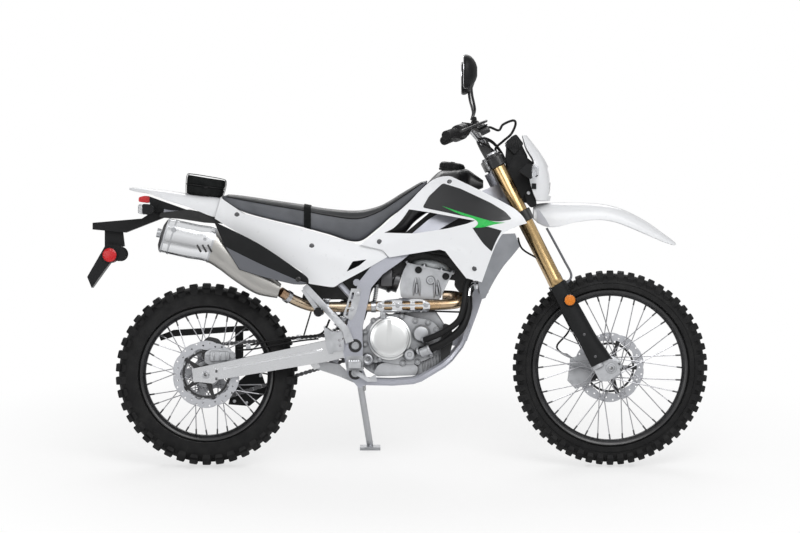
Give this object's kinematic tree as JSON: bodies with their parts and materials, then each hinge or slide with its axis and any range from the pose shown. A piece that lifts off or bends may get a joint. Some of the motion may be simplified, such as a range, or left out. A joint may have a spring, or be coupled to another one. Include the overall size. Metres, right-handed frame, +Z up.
{
  "type": "dual sport motorcycle",
  "caption": "Single-cylinder dual sport motorcycle with knobby tyres, high fenders and inverted fork, parked leaning on its side stand.",
  "frame": {"origin": "on the floor, under the middle of the leaning bike's bounding box", "axes": "+X forward along the wheelbase, +Y to the rider's left, +Z up; the bike leans 10.5 degrees to +Y on its side stand"},
  "size_m": [2.2116, 0.864, 1.504],
  "materials": {
    "white_plastic": "gloss",
    "black_plastic": "satin",
    "grey_plastic": "satin",
    "frame_paint": "satin",
    "black_paint": "satin",
    "aluminium": "brushed",
    "cast_alloy": "cast",
    "gold_anodised": "anodised",
    "chrome": "polished",
    "steel": "brushed",
    "header_steel": "heat tinted",
    "tyre_rubber": "matte",
    "rubber": "matte",
    "seat_cover": "matte",
    "bag_cloth": "woven",
    "clear_lens": "clear",
    "red_lens": "gloss"
  },
  "bodies": {
    "steering": {"fork_outer_tubes": "gold_anodised", "fork_stanchions": "chrome", "fork_castings": "cast_alloy", "fork_guards": "black_plastic", "triple_clamps": "black_paint", "handlebar": "aluminium", "hand_controls": "black_plastic", "mirrors": "black_plastic", "instrument": "black_plastic", "headlamp": "black_plastic", "headlamp_mask": "white_plastic", "front_fender": "white_plastic", "front_axle": "steel", "front_brake": "cast_alloy", "front_indicators": "clear_lens"},
    "front_wheel": {"front_tyre": "tyre_rubber", "front_rim": "black_paint", "front_spokes": "steel", "front_disc": "steel"},
    "rear_wheel": {"rear_tyre": "tyre_rubber", "rear_rim": "black_paint", "rear_spokes": "steel", "rear_disc": "steel", "rear_sprocket": "steel"},
    "side_stand": {"side_stand": "steel"},
    "chassis": {"frame": "frame_paint", "swingarm": "aluminium", "pivot_bolts": "steel", "rear_axle": "steel", "shock": "steel", "chain": "steel", "chain_guard": "black_plastic", "rear_brake": "cast_alloy", "crankcase": "cast_alloy", "cylinder": "cast_alloy", "engine_covers": "aluminium", "exhaust_header": "header_steel", "silencer": "aluminium", "heat_shields": "black_plastic", "fuel_tank": "black_plastic", "fuel_cap": "black_plastic", "seat": "seat_cover", "shrouds": "white_plastic", "side_panels": "white_plastic", "tail_cover": "white_plastic", "rear_mudguard": "black_plastic", "tail_lamp": "red_lens", "rear_indicators": "clear_lens", "tool_bag": "bag_cloth", "radiators": "aluminium", "coolant_hose": "rubber", "airbox": "black_plastic", "foot_controls": "steel"}
  },
  "joints": [
    {"name": "steering_turn", "type": "hinge", "parent": "chassis", "child": "steering", "pos_m": [0.70237, -0.1772, 0.31896], "axis": [-0.4482, 0.1628, 0.879], "range_deg": [-43, 43]},
    {"name": "front_wheel_spin", "type": "hinge", "parent": "steering", "child": "front_wheel", "pos_m": [0.7578, -0.17212, 0.34628], "axis": [-0.0002, 0.9833, -0.1822], "continuous": true},
    {"name": "rear_wheel_spin", "type": "hinge", "parent": "chassis", "child": "rear_wheel", "pos_m": [-0.68223, -0.17631, 0.32547], "axis": [-0.0002, 0.9833, -0.1822], "continuous": true},
    {"name": "side_stand_fold", "type": "hinge", "parent": "chassis", "child": "side_stand", "pos_m": [-0.13729, -0.03327, 0.27895], "axis": [-0.144, 0.9886, 0.0433], "range_deg": [0, 98]}
  ]
}
